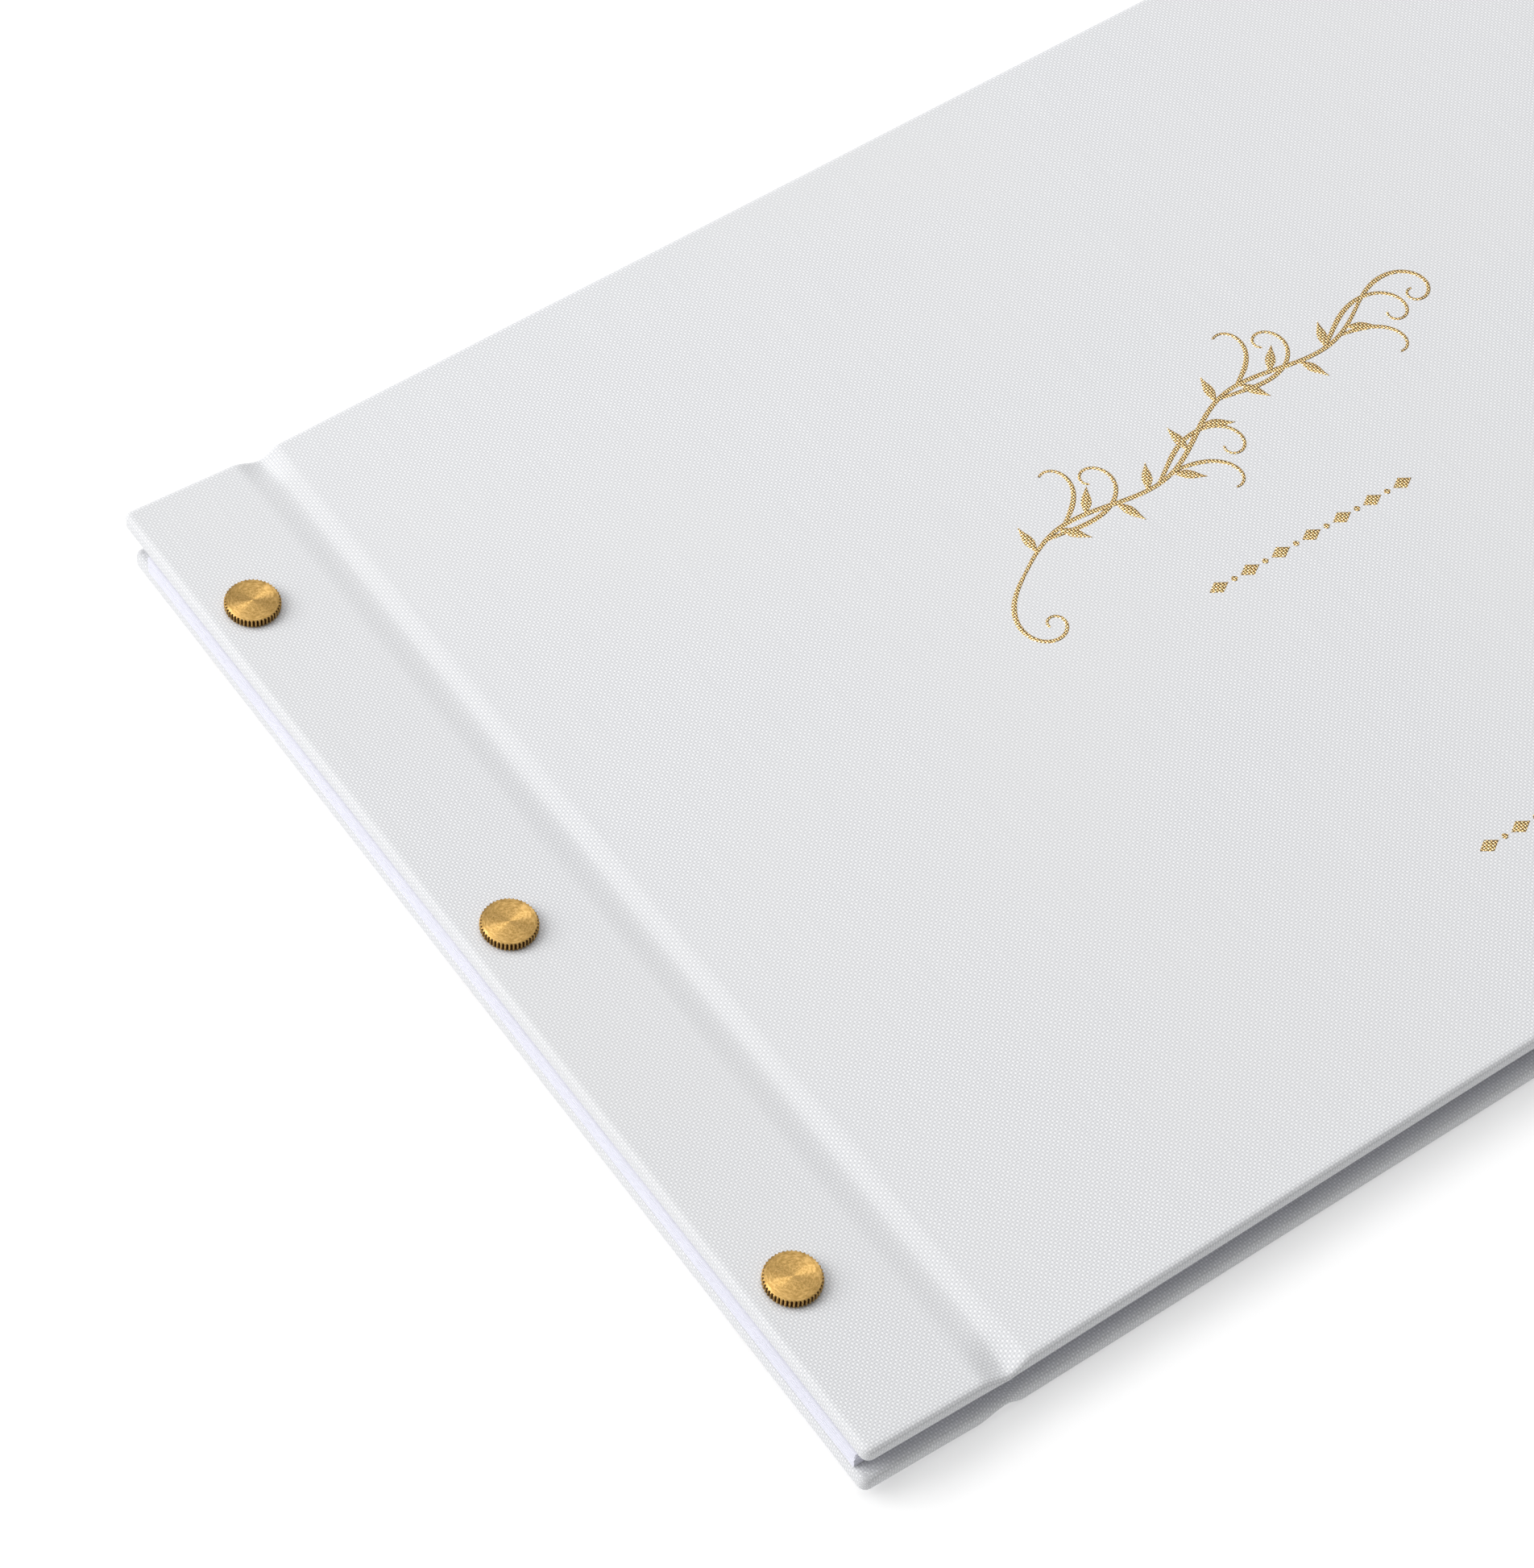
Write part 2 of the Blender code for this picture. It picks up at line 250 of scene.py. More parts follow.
class Finish:
    """A material whose nodes are made by name."""

    def __init__(self, name, **fixed):
        self.material = bpy.data.materials.new(name)
        self.material.use_nodes = True
        self.tree = self.material.node_tree
        self.shader = self.tree.nodes["Principled BSDF"]
        for socket, value in fixed.items():
            self.shader.inputs[socket.replace("_", " ")].default_value = value

    def feed(self, socket, value):
        if isinstance(value, Value):
            self.tree.links.new(value.socket, socket)
        else:
            socket.default_value = value

    def node(self, kind, settings=None, inputs=None, output=0):
        made = self.tree.nodes.new(kind)
        for setting, value in (settings or {}).items():
            setattr(made, setting, value)
        for socket, value in (inputs or {}).items():
            self.feed(made.inputs[socket], value)
        return Value(self, made.outputs[output])

    def mix(self, share, first, second):
        """A colour between two, by Mix, because a Math node would turn it grey."""
        settings = {"data_type": "RGBA"}
        return self.node("ShaderNodeMix", settings, {0: share, 6: first, 7: second}, 2)

    def place(self):
        """Across and along on the unrolled surface, in metres."""
        lie = self.node("ShaderNodeUVMap", {"uv_map": SURFACE})
        split = self.node("ShaderNodeSeparateXYZ", {}, {0: lie})
        return split, split.output("Y")

    def noise(self, across, along, detail=2.0, roughness=0.5):
        """Soft random patches; the sizes of across and along set their shape."""
        spot = self.node("ShaderNodeCombineXYZ", {}, {0: across, 1: along})
        inputs = {"Vector": spot, "Scale": 1.0, "Detail": detail, "Roughness": roughness}
        return self.node("ShaderNodeTexNoise", {}, inputs)

    def paint(self, **inputs):
        for socket, value in inputs.items():
            self.feed(self.shader.inputs[socket.replace("_", " ")], value)

    def bump(self, height, distance, strength=1.0):
        inputs = {"Height": height, "Distance": distance, "Strength": strength}
        self.paint(Normal=self.node("ShaderNodeBump", {}, inputs))


def shade(red, green, blue):
    return (red, green, blue, 1.0)


# %% [markdown]
# ## Book linen
# Book linen is a plain weave: every thread goes over one crossing thread and under
# the next, so the high spots of the warp stand in a chequer. A printed picture of
# cloth could be laid on, but it would blur close up. Two sines give the same chequer at
# any size: the size of one sine is the round of a thread, and the other lifts it at
# each second crossing. A little noise along each thread makes the slubs.

# %% Weave, and the linen finish
THREAD = 0.5 * MM
ROUNDNESS = 0.6
LIFT = 0.4


def plain_weave(finish, thread=THREAD):
    """Heights of a plain weave, from 0 in a hole to 1 on a thread: all, and warp."""
    across, along = finish.place()
    sway = finish.noise(across * 90, along * 90)
    turn = math.pi / thread
    warp = (across * turn + sway * 2.5).sine()
    weft = (along * turn + sway * 2.0).sine()
    warp_slub = finish.noise(across / thread, along * 55) * 0.36 + 0.82
    weft_slub = finish.noise(across * 55, along / thread) * 0.36 + 0.82
    warp_lift = (1 - LIFT) + warp.sign() * weft * LIFT
    weft_lift = (1 - LIFT) - weft.sign() * warp * LIFT
    warp_height = abs(warp) ** ROUNDNESS * warp_lift * warp_slub
    weft_height = abs(weft) ** ROUNDNESS * weft_lift * weft_slub
    return warp_height.larger(weft_height), warp_height


def make_linen():
    linen = Finish("white_book_linen", Sheen_Weight=0.12, Sheen_Roughness=0.6)
    height, warp = plain_weave(linen)
    across, along = linen.place()
    cloudy = linen.noise(across * 14, along * 14, detail=3.0)
    # Painted shade and highlight: by the weave's height, the hollows between threads are darker
    # and the warp crowns lighter.
    threads = linen.mix(
        height.within(0.15, 0.75), shade(0.55, 0.56, 0.585), shade(0.735, 0.74, 0.757)
    )
    crown_highlight = linen.mix(warp.within(0.64, 0.94), threads, shade(0.93, 0.935, 0.95))
    aged = linen.mix(cloudy.within(0.35, 0.75) * 0.35, crown_highlight, shade(0.735, 0.735, 0.735))
    linen.paint(Base_Color=aged, Roughness=0.95 - height * 0.12)
    linen.bump(height, 0.10 * MM, 0.55)
    return linen.material


LINEN = make_linen()
print("linen finish:", len(LINEN.node_tree.nodes), "nodes")

# %% [markdown]
# ## Paper and grey board
# Paper is a felt of fibres, so up close it is slightly cloudy and its surface is
# faintly rough. Its cut edges matter most here: a stack of sheets reads as a stack
# because each sheet is a hair lighter or darker than the next. Grey board is pressed
# from waste paper, with flecks. Both are noise at two sizes.

# %% Paper finishes


def make_paper(name, light, dark, fibre, roughness):
    """Paper or board: fibre is the size of its clumps."""
    paper = Finish(name)
    across, along = paper.place()
    clumps = paper.noise(across / fibre, along / fibre, detail=4.0, roughness=0.6)
    clouds = paper.noise(across * 30, along * 30)
    tone = (clumps * 0.6 + clouds * 0.4).within(0.3, 0.7)
    paper.paint(Base_Color=paper.mix(tone, dark, light), Roughness=roughness - tone * 0.08)
    paper.bump(clumps, 0.02 * MM, 0.5)
    return paper.material


PAGE = make_paper(
    "page_paper", shade(0.86, 0.86, 0.93), shade(0.80, 0.80, 0.88), 0.4 * MM, 0.85
)
LINING = make_paper(
    "lining_paper", shade(0.82, 0.82, 0.83), shade(0.76, 0.76, 0.77), 0.6 * MM, 0.9
)


def make_board():
    """Grey board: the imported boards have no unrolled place, so the noise is solid."""
    board = Finish("grey_board")
    spot = board.node("ShaderNodeTexCoord", {}, {}, "Object")
    inputs = {"Vector": spot, "Scale": 1500.0, "Detail": 4.0, "Roughness": 0.65}
    fibres = board.node("ShaderNodeTexNoise", {}, inputs)
    inputs = {"Vector": spot, "Scale": 420.0, "Detail": 2.0}
    flecks = board.node("ShaderNodeTexNoise", {}, inputs).within(0.60, 0.68)
    pulp = board.mix(
        fibres.within(0.3, 0.7), shade(0.34, 0.31, 0.28), shade(0.47, 0.44, 0.40)
    )
    board.paint(Base_Color=board.mix(flecks * 0.6, pulp, shade(0.20, 0.18, 0.17)))
    board.paint(Roughness=0.98 - fibres * 0.1)
    board.bump(fibres, 0.05 * MM, 0.6)
    return board.material


BOARD = make_board()
print("paper finishes:", PAGE.name, LINING.name, BOARD.name)

# %% [markdown]
# ## Turned brass
# A brass screw head comes off the lathe with rings too fine to see one by one. They
# spread light across the rings and not along them, which is why a turned face shows
# a bright bow tie. The shader's anisotropy does exactly that. The coarser rings and the
# dark spots of age are painted with noise, and the knurl is darker towards the bottom
# of each groove.

# %% Brass finishes
KNURL_CUT = "knurl_cut"


def make_brass():
    brass = Finish(
        "turned_brass", Metallic=1.0, Anisotropic=0.9, Anisotropic_Rotation=0.25
    )
    around, run = brass.place()
    rings = brass.noise(run * 9000, around * 300, detail=3.0)
    streaks = brass.noise(run * 2600, around * 900, detail=3.0, roughness=0.7)
    spot = brass.node("ShaderNodeTexCoord", {}, {}, "Object")
    inputs = {"Vector": spot, "Scale": 1400.0, "Detail": 3.0, "Roughness": 0.6}
    stains = brass.node("ShaderNodeTexNoise", {}, inputs)
    inputs = {"Vector": spot, "Scale": 330.0, "Detail": 1.0}
    patches = brass.node("ShaderNodeTexNoise", {}, inputs)
    knurl_cut = brass.node("ShaderNodeAttribute", {"attribute_name": KNURL_CUT}, {}, "Fac")
    clean = brass.mix(
        streaks.within(0.35, 0.7), shade(0.45, 0.27, 0.08), shade(0.77, 0.50, 0.185)
    )
    specks = stains.within(0.62, 0.70) * patches.within(0.52, 0.66)
    spotted = brass.mix(specks * 0.85, clean, shade(0.12, 0.06, 0.018))
    # Darker towards the bottom of each knurl groove, by the depth of the cut.
    knurl = brass.mix(knurl_cut.within(0.1, 0.75), spotted, shade(0.07, 0.028, 0.008))
    brass.paint(Base_Color=knurl, Roughness=0.40 + streaks * 0.10 + knurl_cut * 0.2)
    brass.bump(rings, 0.012 * MM, 0.6)
    return brass.material


def make_foil():
    """Hot-stamped foil: a gold skin that takes the shape of the threads below."""
    foil = Finish("gold_foil", Metallic=1.0)
    height, warp = plain_weave(foil)
    # Painted shade and highlight: by the weave's height, the foil is dark brown in the hollows
    # and pale gold on the warp crowns.
    bright = foil.mix(
        height.within(0.2, 0.75), shade(0.20, 0.10, 0.028), shade(0.90, 0.63, 0.29)
    )
    crown_highlight = foil.mix(warp.within(0.6, 0.95), bright, shade(1.0, 0.84, 0.56))
    foil.paint(Base_Color=crown_highlight, Roughness=0.36 - height * 0.14)
    foil.bump(height, 0.14 * MM, 0.9)
    return foil.material


BRASS = make_brass()
FOIL = make_foil()
print("metal finishes:", BRASS.name, FOIL.name)

# %% [markdown]
# ## From a bmesh to a piece
# Every piece below is made as points and faces, and then becomes an object with its
# finish. The unrolled place of each point is kept as a UV, in metres, so that the
# weave keeps its size round an edge.

# %% Make an object


def make_piece(name, shape, finish, lie=None):
    """An object from a bmesh; lie maps each vertex to its unrolled place."""
    if lie:
        unrolled = shape.loops.layers.uv.new(SURFACE)
        for face in shape.faces:
            for loop in face.loops:
                loop[unrolled].uv = lie[loop.vert]
    mesh = bpy.data.meshes.new(name)
    shape.to_mesh(mesh)
    shape.free()
    mesh.materials.append(finish)
    mesh.shade_smooth()
    piece = bpy.data.objects.new(name, mesh)
    bpy.context.scene.collection.objects.link(piece)
    return piece


def settle(piece):
    """Make the modifiers' result the piece's own mesh."""
    graph = bpy.context.evaluated_depsgraph_get()
    final = bpy.data.meshes.new_from_object(piece.evaluated_get(graph))
    piece.modifiers.clear()
    piece.data = final
    piece.data.name = piece.name


def thicken(piece, thickness):
    """Give a sheet its thickness, on the inner side of its faces."""
    solid = piece.modifiers.new("thickness", "SOLIDIFY")
    solid.thickness = thickness
    solid.offset = -1.0


# %% [markdown]
# ## Holes for the posts
# The three posts pass through both strips and every sheet. A bookbinder drills the
# whole stack in one go, and so do we: three long rods stand where the posts are, and
# each piece is cut with them before it is finished.

# %% Drills
SCREWS = sorted(name for name in JOINTS if name.startswith("screw_"))
HOLE_RADIUS = 2.8 * MM
DRILL_LENGTH = 60 * MM
DRILL_SIDES = 48
RIM_ANGLE = 42
binding_turn = COVERS["front"].held.axes.to_4x4()


def on_screw(number):
    """Where the axis of one screw stands, as a matrix whose Z is the axis."""
    return Matrix.Translation(JOINTS[f"screw_{number}_turn"]["pos_m"]) @ binding_turn


def make_drills():
    shape = bmesh.new()
    for number in range(1, len(SCREWS) + 1):
        bmesh.ops.create_cone(
            shape, cap_ends=True, segments=DRILL_SIDES, radius1=HOLE_RADIUS,
            radius2=HOLE_RADIUS, depth=DRILL_LENGTH, matrix=on_screw(number),
        )
    drills = make_piece("drills", shape, BOARD)
    drills.hide_render = True
    return drills


DRILLS = make_drills()


def drill(piece):
    """Cut the post holes and settle the piece."""
    cut = piece.modifiers.new("post_holes", "BOOLEAN")
    cut.operation = "DIFFERENCE"
    cut.object = DRILLS
    settle(piece)
    piece.data.set_sharp_from_angle(angle=math.radians(RIM_ANGLE))


print("drills at", len(SCREWS), "screws")

# %% [markdown]
# ## The cloth over the boards
# One piece of linen covers both boards of a cover. It bridges the groove between
# them, turns over every edge and is glued down for 15 mm on the page side. A box
# with bevelled edges would be simpler, but its weave would break at each edge. So we
# lay a grid on the outer face and let rings of points run from it round the edge, a
# little further each time, and count the distance as they go. At the corners the
# rings fan out on the outer side and meet in a mitre on the page side, as folded
# cloth does.

# %% Measures of the cloth
TURN_IN = 15.0 * MM
LINEN_THICKNESS = 0.35 * MM
EDGE_ROUND = 1.0 * MM
CORNER_ROUND = 1.5 * MM
CORNER_STEPS = 5
ARC_STEPS = 4
GROOVE_DEPTH = 0.66 * MM
GROOVE_END_DEPTH = 2.1 * MM
GROOVE_END = 9.0 * MM
GROOVE_FALL = 6.4 * MM
GROOVE_RISE = 4.3 * MM
BOARD_MARGIN = 0.3 * MM
LINING_INSET = 4.0 * MM
LINING_STEP = 0.14 * MM
RIPPLE = 0.05 * MM
RIPPLES_PER_METRE = 40
EDGE_SEED = 7
WELD_REACH = 0.005 * MM


def spaced(low, high, step):
    """Even places from low to high, no further apart than step."""
    count = max(1, math.ceil((high - low) / step))
    return [low + (high - low) * i / count for i in range(count + 1)]


def groove(cover, across, along):
    """How far the cloth dips between the boards: a slow fall, then a quick rise."""
    fall = smooth((across - cover.start + BOARD_MARGIN) / GROOVE_FALL)
    rise = smooth((across - cover.end + GROOVE_RISE + BOARD_MARGIN) / GROOVE_RISE)
    end = smooth(1 - (cover.length / 2 - abs(along)) / GROOVE_END)
    return (GROOVE_DEPTH + (GROOVE_END_DEPTH - GROOVE_DEPTH) * end) * (fall - rise)


def ripple(across, along, seed):
    """The faint unevenness of glued cloth."""
    spot = Vector((across * RIPPLES_PER_METRE, along * RIPPLES_PER_METRE, seed))
    return RIPPLE * noise.noise(spot)


def edge_sections(thickness, turn_in):
    """(inset, depth) steps from the outer face round the edge to the turn-in's end."""
    radius = min(EDGE_ROUND, 0.49 * thickness)
    quarter = [math.pi / 2 * i / ARC_STEPS for i in range(ARC_STEPS + 1)]
    steps = []
    for angle in quarter:
        inset = radius * (1 - math.sin(angle))
        steps.append((inset, thickness - radius * (1 - math.cos(angle))))
    for angle in reversed(quarter):
        inset = radius * (1 - math.sin(angle))
        steps.append((inset, radius * (1 - math.cos(angle))))
    under = [(CORNER_ROUND, 0.0), (LINING_INSET - LINING_STEP, 0.0)]
    under += [(LINING_INSET + LINING_STEP, LINING_STEP)]
    return steps + under + [(turn_in, LINING_STEP)]


class Outline:
    """The rim of a rectangle with round corners: a place, a way out and a grid index."""

    def __init__(self, columns, rows):
        across_end, along_end = len(columns) - 1, len(rows) - 1
        sides = [
            ([(i, 0) for i in range(across_end + 1)], -90),
            ([(across_end, j) for j in range(along_end + 1)], 0),
            ([(i, along_end) for i in range(across_end, -1, -1)], 90),
            ([(0, j) for j in range(along_end, -1, -1)], 180),
        ]
        self.points = []
        for cells, facing in sides:
            for cell in cells:
                self.add(cell, facing, columns, rows)
            for step in range(1, CORNER_STEPS):
                self.add(cells[-1], facing + 90 * step / CORNER_STEPS, columns, rows)

    def add(self, cell, degrees, columns, rows):
        angle = math.radians(degrees)
        out = Vector((math.cos(angle), math.sin(angle)))
        self.points.append((Vector((columns[cell[0]], rows[cell[1]])), out, cell))


# %% Lay the cloth
BESIDE_GROOVE = 2 * MM
GROOVE_STEP = 0.35 * MM
GROOVE_END_STEP = 1.2 * MM
STRIP_STEP = 3 * MM
BOARD_STEP = 8 * MM


def cover_columns(cover):
    """Grid lines across: close together in the groove, wide apart on the board."""
    low, high = CORNER_ROUND, cover.width - CORNER_ROUND
    left = cover.start - BESIDE_GROOVE
    right = cover.end + BESIDE_GROOVE
    lines = spaced(low, left, STRIP_STEP) + spaced(left, right, GROOVE_STEP)[1:]
    return lines + spaced(right, high, BOARD_STEP)[1:]


def cover_rows(half):
    """Grid lines along: closer at head and tail, where the groove deepens."""
    low, high = CORNER_ROUND - half, half - CORNER_ROUND
    lines = spaced(low, low + GROOVE_END, GROOVE_END_STEP)
    lines += spaced(low + GROOVE_END, high - GROOVE_END, BOARD_STEP)[1:]
    return lines + spaced(high - GROOVE_END, high, GROOVE_END_STEP)[1:]


def lay_linen(side, cover, seed):
    """The linen of one cover, as one sheet round both boards."""
    half = cover.length / 2
    columns = cover_columns(cover)
    rows = cover_rows(half)
    levels = {
        (i, j): cover.thickness - groove(cover, columns[i], rows[j])
        for i in range(len(columns))
        for j in range(len(rows))
    }
    middle = len(rows) // 2
    runs = [columns[0]]
    for i in range(1, len(columns)):
        rise = levels[i, middle] - levels[i - 1, middle]
        runs.append(runs[-1] + math.hypot(columns[i] - columns[i - 1], rise))
    shape = bmesh.new()
    lie = {}
    grid = {}
    for i, across in enumerate(columns):
        for j, along in enumerate(rows):
            depth = levels[i, j] + ripple(across, along, seed)
            grid[i, j] = shape.verts.new(cover.place(across, along, depth))
            lie[grid[i, j]] = (runs[i], along)
    for i in range(len(columns) - 1):
        for j in range(len(rows) - 1):
            corners = (grid[i, j], grid[i + 1, j], grid[i + 1, j + 1], grid[i, j + 1])
            outer = shape.faces.new(corners)
    outline = Outline(columns, rows)
    inner = [grid[cell] for _, _, cell in outline.points]
    sections = [edge_sections(levels[cell], TURN_IN) for _, _, cell in outline.points]
    walked = [0.0] * len(inner)
    before = [(CORNER_ROUND, levels[cell]) for _, _, cell in outline.points]
    for step in range(len(sections[0])):
        ring = []
        for n, (anchor, out, cell) in enumerate(outline.points):
            inset, depth = sections[n][step]
            walked[n] += math.hypot(inset - before[n][0], depth - before[n][1])
            before[n] = (inset, depth)
            spot = anchor + out * max(0.0, CORNER_ROUND - inset)
            across = min(max(spot.x, inset), cover.width - inset)
            along = min(max(spot.y, inset - half), half - inset)
            wave = ripple(across, along, seed + EDGE_SEED)
            place = cover.place(across + out.x * wave, along + out.y * wave, depth)
            vert = shape.verts.new(place)
            lie[vert] = (runs[cell[0]] + out.x * walked[n], anchor.y + out.y * walked[n])
            ring.append(vert)
        for n in range(len(ring)):
            after = (n + 1) % len(ring)
            if inner[n] is inner[after]:
                shape.faces.new((inner[n], ring[n], ring[after]))
            else:
                shape.faces.new((inner[n], ring[n], ring[after], inner[after]))
        inner = ring
    bmesh.ops.recalc_face_normals(shape, faces=shape.faces)
    if outer.normal.z * cover.held.outward < 0:
        bmesh.ops.reverse_faces(shape, faces=shape.faces)
    return make_piece(f"{side}_linen", shape, LINEN, lie)


def weld(piece, reach):
    """Join points that a mitre brings together."""
    shape = bmesh.new()
    shape.from_mesh(piece.data)
    bmesh.ops.remove_doubles(shape, verts=shape.verts, dist=reach)
    bmesh.ops.dissolve_degenerate(shape, edges=shape.edges, dist=reach)
    shape.to_mesh(piece.data)
    shape.free()


for seed, (side, cover) in enumerate(COVERS.items()):
    linen = lay_linen(side, cover, seed)
    weld(linen, WELD_REACH)
    thicken(linen, LINEN_THICKNESS)
    drill(linen)
    cover.blend(linen, "binding", f"{side}_cover")
    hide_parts(f"{side}_strip_cloth", f"{side}_cover_cloth")

# %% [markdown]
# ## Linings and boards
# On the page side a sheet of paper is pasted over the raw edges of the cloth. It
# runs across the groove too, which is what makes the hinge strong. The boards
# themselves stay as they were packed, because they only show if the book is taken
# apart; they get the finish of grey board.

# %% Line the covers and finish the boards
LINING_THICKNESS = 0.12 * MM
LINING_ROW_STEP = 25 * MM
BESIDE_CREASE = 1 * MM
CREASE_STEP = 0.5 * MM
MARGIN_STEP = 8 * MM
PAPER_STEP = 25 * MM
LAYER_SHIFT = 0.4


def flat_sheets(name, panel, columns, rows, depths, finish, shifts=None):
    """Thin sheets on a folded panel, one for each depth, as one piece."""
    shape = bmesh.new()
    lie = {}
    for layer, depth in enumerate(depths):
        slip_x, slip_y = shifts[layer] if shifts else (0.0, 0.0)
        grid = {}
        for i, across in enumerate(columns):
            for j, along in enumerate(rows):
                spot = panel.place(across + slip_x, along + slip_y, depth)
                grid[i, j] = shape.verts.new(spot)
                lie[grid[i, j]] = (across + layer * LAYER_SHIFT, along)
        for i in range(len(columns) - 1):
            for j in range(len(rows) - 1):
                cell = (grid[i, j], grid[i + 1, j], grid[i + 1, j + 1], grid[i, j + 1])
                shape.faces.new(cell)
    return make_piece(name, shape, finish, lie)


def crease_columns(panel, low, high):
    """Grid lines across a sheet: close together only where it bends."""
    left, right = panel.start - BESIDE_CREASE, panel.end + BESIDE_CREASE
    lines = spaced(low, left, MARGIN_STEP) + spaced(left, right, CREASE_STEP)[1:]
    return lines + spaced(right, high, PAPER_STEP)[1:]


for side, cover in COVERS.items():
    columns = crease_columns(cover, LINING_INSET, cover.width - LINING_INSET)
    half = cover.length / 2 - LINING_INSET
    rows = spaced(-half, half, LINING_ROW_STEP)
    top = LINING_THICKNESS if cover.held.outward > 0 else 0.0
    lining = flat_sheets(f"{side}_lining", cover, columns, rows, [top], LINING)
    thicken(lining, LINING_THICKNESS)
    drill(lining)
    cover.blend(lining, "binding", f"{side}_cover")
    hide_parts(f"{side}_strip_lining", f"{side}_cover_lining")
    for part in ("strip", "cover"):
        NODES[f"{side}_{part}_board"].data.materials[0] = BOARD
    print(lining.name, "laid over", len(columns), "lines")

# %% [markdown]
# ## The sheets
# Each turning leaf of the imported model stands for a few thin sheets. Four sheets
# fill it, a hair apart, and each has slipped a little in the hand-knocked stack, so
# the edge of the block shows fine lines. They are one grid each with a thickness,
# which is lighter than boxes and bends over the fold with the leaf.

# %% Make the sheets
SHEETS_PER_LEAF = 4
SHEET_THICKNESS = 0.125 * MM
SHEET_SLIP = 0.12 * MM
SHEET_TOP = 0.95
SHEET_ROW_STEP = 30 * MM
slips = random.Random(11)


def leaf_crease(panel):
    """A leaf bends between its held margin and its turning part."""
    return COVERS["front"].start, COVERS["front"].end


leaf_count = len([name for name in NODES if name.startswith("page_leaf_")])
leaf_floors = [Jig(f"page_margin_{k}").low.z for k in range(1, leaf_count + 1)]
leaf_pitch = leaf_floors[0] - leaf_floors[1]
for k in range(1, leaf_count + 1):
    leaf = FoldedPanel(
        f"page_margin_{k}", f"page_leaf_{k}", f"leaf_{k}_turn", 1, leaf_crease
    )
    sheet_pitch = leaf_pitch / SHEETS_PER_LEAF
    spare = (leaf_pitch - leaf.thickness) / 2
    tops = [sheet_pitch * (n + SHEET_TOP) - spare for n in range(SHEETS_PER_LEAF)]
    half = leaf.length / 2
    columns = crease_columns(leaf, 0.0, leaf.width)
    rows = spaced(-half, half, SHEET_ROW_STEP)
    shifts = [
        (slips.uniform(-SHEET_SLIP, SHEET_SLIP), slips.uniform(-SHEET_SLIP, SHEET_SLIP))
        for _ in tops
    ]
    sheets = flat_sheets(f"leaf_{k}_sheets", leaf, columns, rows, tops, PAGE, shifts)
    thicken(sheets, SHEET_THICKNESS)
    drill(sheets)
    leaf.blend(sheets, "binding", f"leaf_{k}")
    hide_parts(f"page_margin_{k}", f"page_leaf_{k}")
leaf_width = round(leaf.width / MM, 1)
print(leaf_count, "leaves of", SHEETS_PER_LEAF, "sheets,", leaf_width, "mm wide")

# %% [markdown]
# ## Screws and posts
# The screws have flat heads with a straight knurl: short V grooves cut along the rim
# so that fingers can grip it. The posts are plain, with a slim rounded head at the
# back. Both are turned shapes, so a list of (radius, height) pairs is spun round the
# axis, and each tooth of the knurl is four points of the rim: one stands out, and the
# others are pulled in to make the V.

# %% Turn a piece on the lathe
HEAD_RADIUS = 4.9 * MM
TEETH = 44
KNURL_DEPTH = 0.34 * MM
TOOTH = (0.0, 0.5, 1.0, 0.5)
TURNED_ANGLE = 28


def turn_piece(name, profile, finish, seat):
    """Spin (radius, height, knurl share) rings round the screw's axis."""
    sides = TEETH * len(TOOTH)
    shape = bmesh.new()
    knurl_cut = shape.verts.layers.float.new(KNURL_CUT)
    lie = {}
    rings = []
    run = 0.0
    last = profile[0]
    for radius, height, knurl in profile:
        run += math.hypot(radius - last[0], height - last[1])
        last = (radius, height, knurl)
        ring = []
        for side in range(sides if radius else 1):
            angle = 2 * math.pi * side / sides
            cut = TOOTH[side % len(TOOTH)] * knurl
            reach = radius - KNURL_DEPTH * cut
            spot = (reach * math.cos(angle), reach * math.sin(angle), height)
            vert = shape.verts.new(spot)
            # How deep this point lies in a knurl groove; the brass is painted darker there.
            vert[knurl_cut] = cut
            lie[vert] = (angle * HEAD_RADIUS, run)
            ring.append(vert)
        rings.append(ring)
    for upper, lower in zip(rings, rings[1:]):
        for side in range(sides):
            a, b = upper[side % len(upper)], upper[(side + 1) % sides % len(upper)]
            c, d = lower[(side + 1) % sides % len(lower)], lower[side % len(lower)]
            shape.faces.new(list(dict.fromkeys((a, b, c, d))))
    bmesh.ops.recalc_face_normals(shape, faces=shape.faces)
    piece = make_piece(name, shape, finish, lie)
    piece.data.set_sharp_from_angle(angle=math.radians(TURNED_ANGLE))
    piece.matrix_world = seat
    return piece


def heights_on_axis(node, number):
    """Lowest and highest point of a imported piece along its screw's axis."""
    inverse = on_screw(number).inverted()
    heights = [(inverse @ vert.co).z for vert in NODES[node].data.vertices]
    return min(heights), max(heights)


# %% The three screws
RIM_CHAMFER = 0.24 * MM
SHANK_RADIUS = 1.7 * MM
HEAD_THICKNESS = 1.75 * MM
RING_DEPTHS = (0.035, 0.012, 0.012)


def head_rings(top, ring_depth):
    """The turned face: a small nub, a few tool rings, then a flat to the rim."""
    rings = [(0.0, top + 1.6 * ring_depth, 0), (0.22 * MM, top + ring_depth, 0)]
    for n in range(8):
        radius = (0.34 + 0.16 * n) * MM
        rings.append((radius, top - ring_depth * (n % 2) * (1 - n / 9), 0))
    rings += [(2.6 * MM, top, 0), (3.6 * MM, top, 0)]
    return rings


